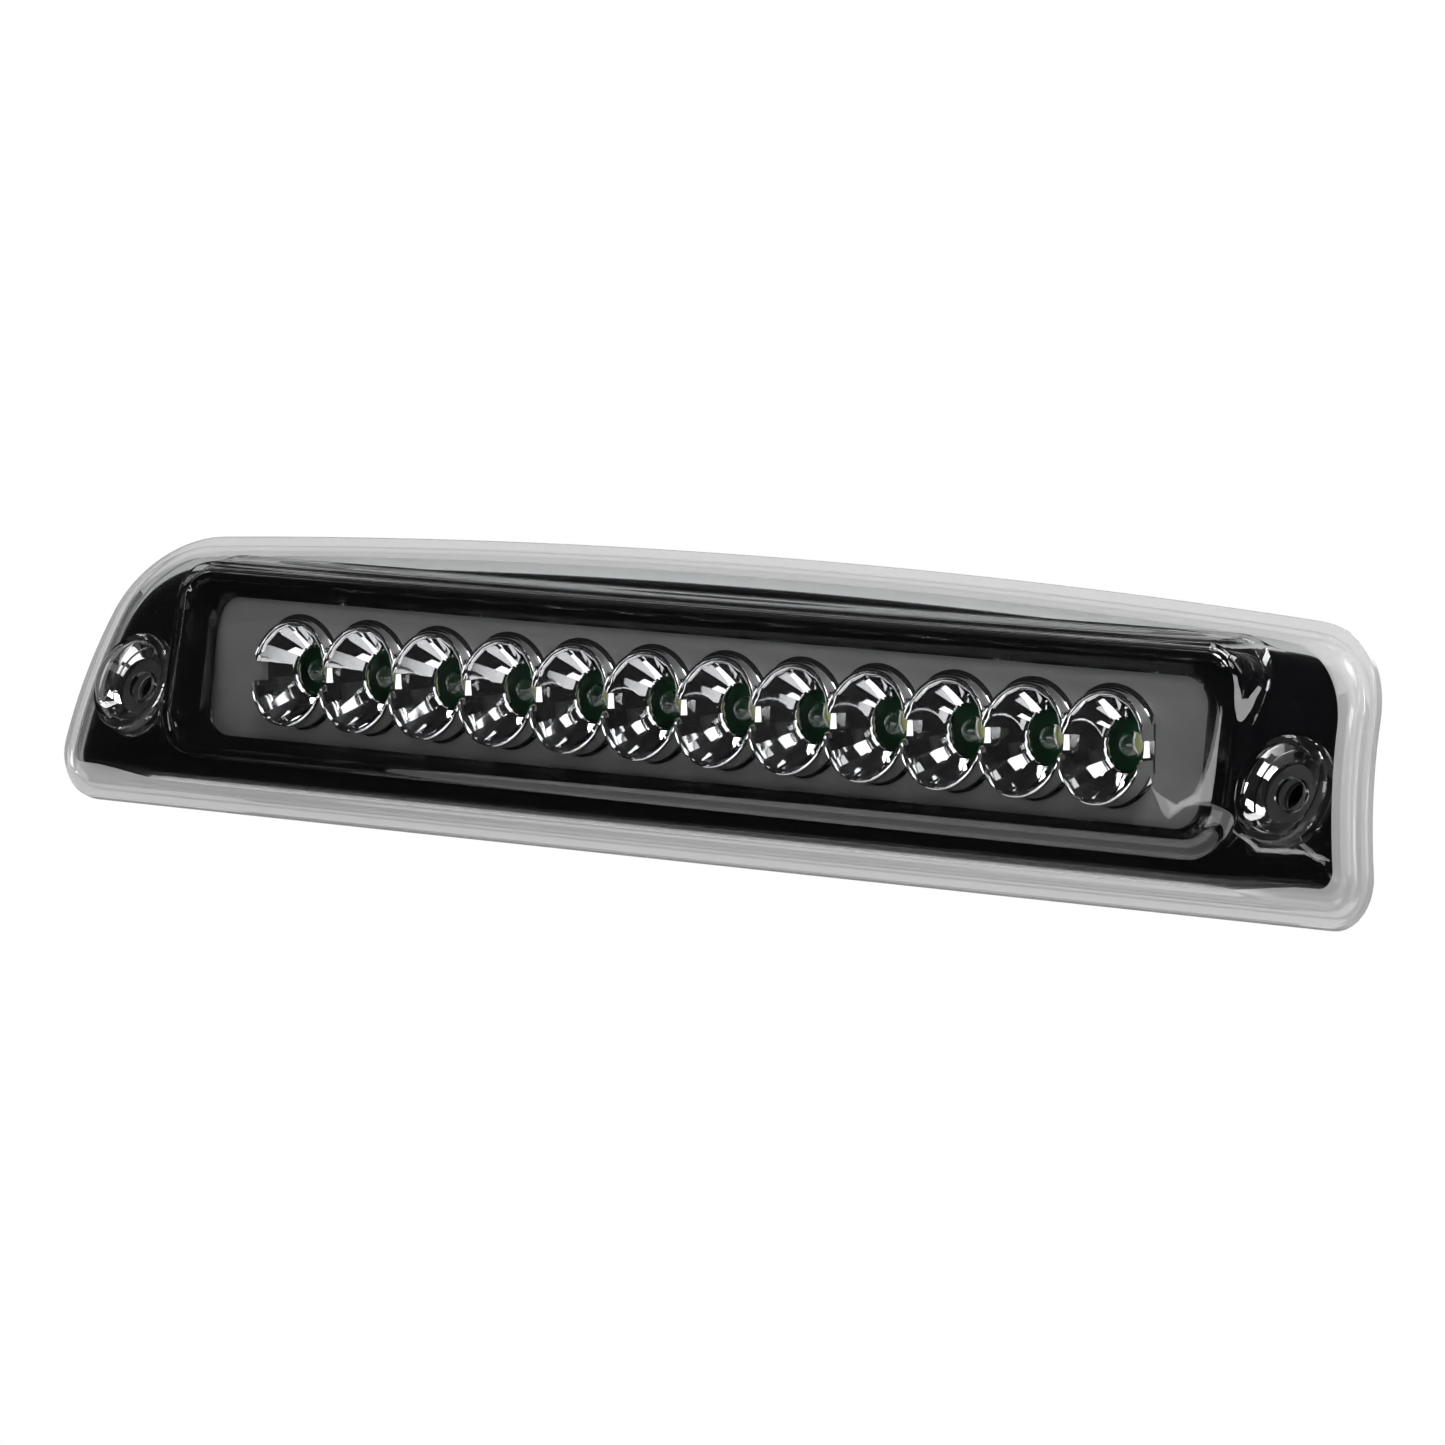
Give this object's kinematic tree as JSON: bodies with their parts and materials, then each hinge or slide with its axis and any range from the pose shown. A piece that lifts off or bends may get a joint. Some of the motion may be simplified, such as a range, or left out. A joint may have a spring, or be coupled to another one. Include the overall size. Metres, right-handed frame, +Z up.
{
  "type": "third brake light",
  "caption": "High-level brake lamp: clear lens over a black bezel and a window with a row of chrome reflector cups and diodes, rear housing, gasket and two fixing holes.",
  "frame": {"origin": "midway between the two fixing holes, on the plane of the gasket's rear face", "axes": "+X along the lamp to the viewer's right when facing the lens, +Y through the mounting plane into the vehicle, +Z up"},
  "size_m": [0.3528, 0.0446, 0.0632],
  "materials": {
    "clear_lens": "polished clear moulding",
    "gloss_black": "high-gloss black moulding",
    "satin_grey": "satin grey paint on plastic",
    "chrome_plating": "bright metal plating on plastic",
    "led_epoxy": "clear epoxy dome, yellow-green core",
    "tinned_wire": "tinned wire",
    "solder": "bright solder",
    "board_laminate": "green solder mask on glass laminate",
    "resistor_lacquer": "glossy lacquer",
    "diode_case": "moulded epoxy",
    "capacitor_sleeve": "shrunk sleeve",
    "header_nylon": "natural nylon",
    "pin_plating": "plated contact pins",
    "housing_black": "fine moulded texture",
    "sealant": "cured sealing bead",
    "foam": "closed-cell foam",
    "sleeve_steel": "zinc-plated steel",
    "seal_rubber": "moulded rubber",
    "screw_zinc": "zinc-plated steel",
    "vent_black": "moulded plastic",
    "membrane_white": "breathable film"
  },
  "bodies": {
    "root": {"outer_lens": "clear_lens", "bezel": "gloss_black", "reflector_panel": "satin_grey", "reflector_cups": "chrome_plating", "led_01": "led_epoxy", "led_02": "led_epoxy", "led_03": "led_epoxy", "led_04": "led_epoxy", "led_05": "led_epoxy", "led_06": "led_epoxy", "led_07": "led_epoxy", "led_08": "led_epoxy", "led_09": "led_epoxy", "led_10": "led_epoxy", "led_11": "led_epoxy", "led_12": "led_epoxy", "led_leads": "tinned_wire", "solder_joints": "solder", "circuit_board": "board_laminate", "resistors": "resistor_lacquer", "resistor_leads": "tinned_wire", "blocking_diode": "diode_case", "diode_leads": "tinned_wire", "smoothing_capacitor": "capacitor_sleeve", "capacitor_leads": "tinned_wire", "wire_header": "header_nylon", "header_pins": "pin_plating", "rear_housing": "housing_black", "sealing_bead": "sealant", "foam_gasket": "foam", "sleeve_left": "sleeve_steel", "sleeve_right": "sleeve_steel", "well_seals": "seal_rubber", "bezel_screws": "screw_zinc", "panel_screws": "screw_zinc", "reflector_screws": "screw_zinc", "board_screws": "screw_zinc", "wire_grommet": "seal_rubber", "vent_cap": "vent_black", "vent_membrane": "membrane_white"}
  },
  "joints": []
}
